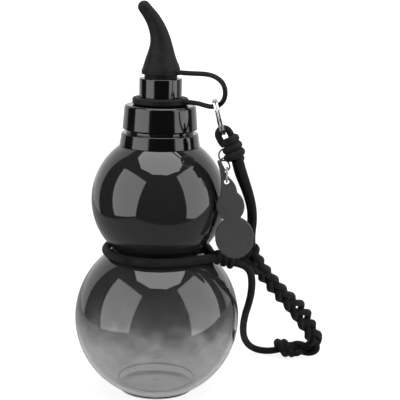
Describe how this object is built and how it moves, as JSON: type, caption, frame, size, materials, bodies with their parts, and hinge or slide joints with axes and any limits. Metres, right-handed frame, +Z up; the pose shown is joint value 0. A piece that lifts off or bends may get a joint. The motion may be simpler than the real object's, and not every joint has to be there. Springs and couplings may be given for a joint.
{
  "type": "gourd water bottle",
  "caption": "Smoky double-sphere gourd flask with a screwed spout cap, horn-shaped stopper on a rubber tether, split ring, gourd charm and braided lanyard looped round its waist.",
  "frame": {"origin": "centre of the foot ring, on the surface that the bottle stands on", "axes": "+Z up along the bottle, +X toward the lanyard, and the picture looks along +Y"},
  "size_m": [0.1562, 0.1162, 0.2319],
  "materials": {
    "smoked_plastic": "clear smoked plastic, glossy, darker at the top than at the foot",
    "black_gloss": "moulded black plastic with a soft gloss",
    "black_rubber": "satin moulded silicone rubber",
    "black_cord": "braided sheath of round nylon cord",
    "bright_steel": "polished nickel-plated wire",
    "dark_wire": "blackened wire",
    "grey_charm_metal": "matte dark grey cast metal with a bevelled edge"
  },
  "bodies": {
    "bottle": {"lower_globe": "smoked_plastic", "upper_globe": "smoked_plastic", "bottle_neck": "smoked_plastic", "neck_collar": "black_gloss", "waist_loop": "black_cord", "waist_knot": "black_cord", "waist_strand": "black_cord", "lead_cord": "black_cord", "lanyard_braid": "black_cord", "braid_end_knot": "black_cord", "strand_front": "black_cord", "strand_back": "black_cord"},
    "stopper_tether": {"tether_ring": "black_rubber", "tether_strap": "black_rubber", "lanyard_loop": "black_cord", "top_knot": "black_cord", "charm_jump_ring": "dark_wire"},
    "cap": {"screw_cap": "black_gloss", "drinking_spout": "black_gloss", "cap_gasket": "black_rubber"},
    "stopper": {"horn_stopper": "black_rubber", "stopper_plug": "black_rubber"},
    "key_ring": {"split_ring": "bright_steel"},
    "charm_chain": {"charm_oval_ring": "dark_wire", "charm_link": "bright_steel"},
    "charm": {"gourd_charm": "grey_charm_metal"}
  },
  "joints": [
    {"name": "cap_lift", "type": "slide", "parent": "bottle", "child": "stopper_tether", "axis": [0, 0, 1], "range_m": [0, 0.006], "deforming": ["strand_front", "strand_back"]},
    {"name": "cap_turn", "type": "hinge", "parent": "stopper_tether", "child": "cap", "pos_m": [0, 0, 0.165], "axis": [0, 0, 1], "range_deg": [0, 540]},
    {"name": "stopper_pull", "type": "slide", "parent": "stopper_tether", "child": "stopper", "axis": [0, 0, 1], "range_m": [0, 0.012], "deforming": ["tether_strap"]},
    {"name": "ring_turn", "type": "hinge", "parent": "stopper_tether", "child": "key_ring", "pos_m": [0.03382, -0.01855, 0.16853], "axis": [0.9641, 0, 0.2656], "continuous": true},
    {"name": "charm_swing", "type": "hinge", "parent": "stopper_tether", "child": "charm_chain", "pos_m": [0.0372, -0.0198, 0.1439], "axis": [-1, 0, 0], "range_deg": [0, 15]},
    {"name": "tag_swing", "type": "hinge", "parent": "charm_chain", "child": "charm", "pos_m": [0.0392, -0.0228, 0.1322], "axis": [0, -1, 0], "range_deg": [0, 40]}
  ],
  "couplings": [
    {"joint": "cap_lift", "follows": "cap_turn", "m_per_rad": 0.0006366}
  ]
}
